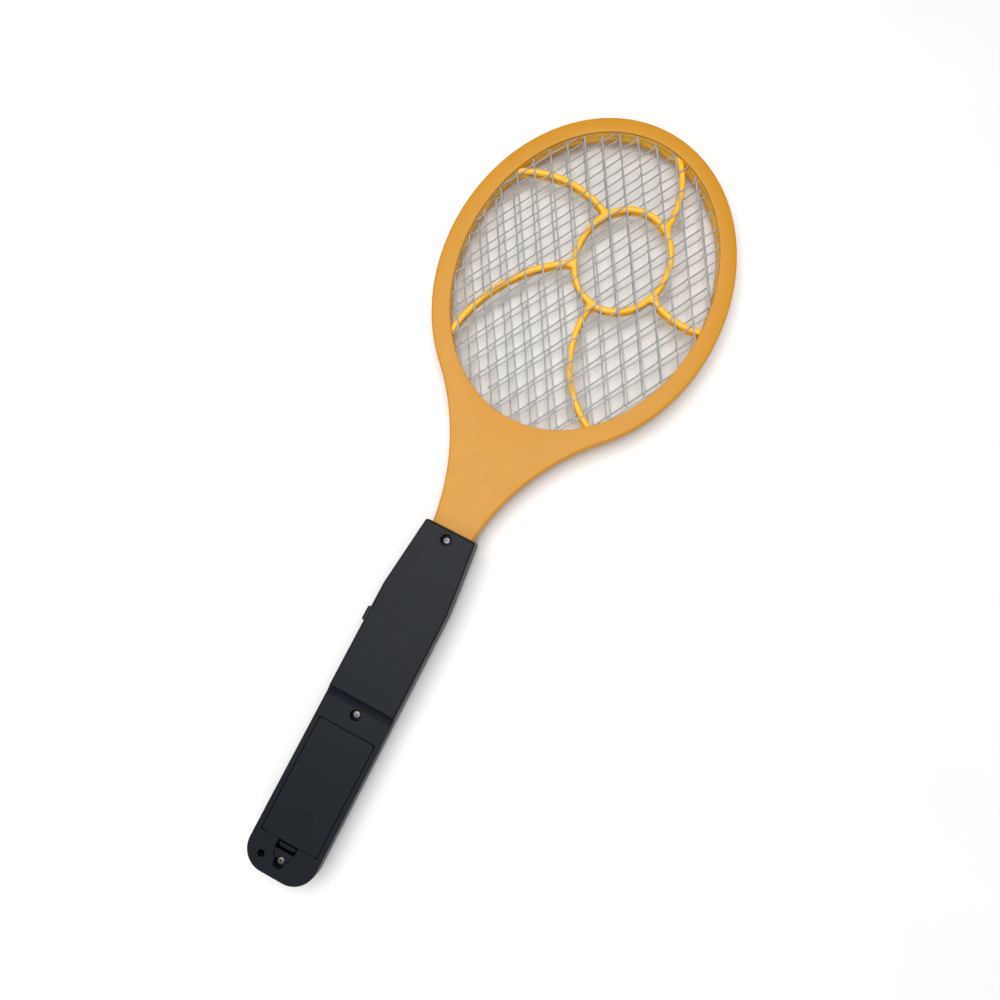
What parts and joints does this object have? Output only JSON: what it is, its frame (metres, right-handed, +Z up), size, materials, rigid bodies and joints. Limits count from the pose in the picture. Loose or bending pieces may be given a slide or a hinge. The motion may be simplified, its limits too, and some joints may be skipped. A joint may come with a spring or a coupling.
{
  "type": "electric fly swatter",
  "caption": "Battery-powered electric fly swatter: oval racket head with layered wire grids and spacer arms on a black handle with battery door and side button.",
  "frame": {"origin": "middle of the flat front face of the handle's bounding box, at the surface it lies on", "axes": "+Y from the handle to the head, +Z up through the back with the battery door, +X to the right seen from above with the head away from the viewer"},
  "size_m": [0.156, 0.4424, 0.026],
  "materials": {
    "black_plastic": "fine-textured satin ABS",
    "button_plastic": "satin ABS",
    "orange_plastic": "fine-textured satin ABS",
    "yellow_plastic": "smooth polypropylene",
    "white_nylon": "natural nylon",
    "grid_metal": "expanded sheet, mill finish",
    "screw_steel": "zinc plated",
    "spring_steel": "nickel plated",
    "contact_metal": "nickel plated spring strip",
    "cell_jacket": "plain metallised jacket, no print",
    "board_laminate": "paper phenolic board",
    "ferrite": "sintered ferrite",
    "bobbin_plastic": "moulded bobbin",
    "winding_tape": "polyester tape over copper",
    "film_capacitor": "dipped epoxy",
    "disc_capacitor": "dipped epoxy",
    "diode_body": "moulded epoxy",
    "resistor_body": "lacquered",
    "led_red": "tinted epoxy",
    "wire_red": "PVC insulation",
    "wire_black": "PVC insulation"
  },
  "bodies": {
    "swatter": {"back_shell": "black_plastic", "front_shell": "black_plastic", "button_spring": "spring_steel", "switch_body": "bobbin_plastic", "handle_screws": "screw_steel", "battery_cell_left": "cell_jacket", "battery_cell_right": "cell_jacket", "bridge_contact": "contact_metal", "negative_contact": "contact_metal", "positive_contact": "contact_metal", "circuit_board": "board_laminate", "board_screws": "screw_steel", "transformer_core": "ferrite", "transformer_bobbin": "bobbin_plastic", "transformer_winding": "winding_tape", "storage_capacitor": "film_capacitor", "doubler_capacitors": "disc_capacitor", "rectifier_diodes": "diode_body", "switching_transistor": "diode_body", "resistors": "resistor_body", "indicator_led": "led_red", "head_back_frame": "orange_plastic", "head_front_frame": "orange_plastic", "back_spacer": "yellow_plastic", "front_spacer": "yellow_plastic", "back_grid": "grid_metal", "centre_grid": "grid_metal", "front_grid": "grid_metal", "outer_grid_link": "contact_metal", "battery_wire_plus": "wire_red", "battery_wire_minus": "wire_black", "centre_grid_wire": "wire_red", "outer_grid_wire": "wire_black"},
    "door": {"battery_door": "black_plastic"},
    "button": {"push_button": "button_plastic", "switch_plunger": "white_nylon"}
  },
  "joints": [
    {"name": "door_hinge", "type": "hinge", "parent": "swatter", "child": "door", "pos_m": [0, -0.14025, 0.0225], "axis": [-1, 0, 0], "range_deg": [0, 75]},
    {"name": "button_press", "type": "slide", "parent": "swatter", "child": "button", "axis": [1, 0, 0], "range_m": [0, 0.0012], "stiffness_N_per_m": 800, "springref_m": -0.0006, "deforming": ["button_spring"]}
  ]
}
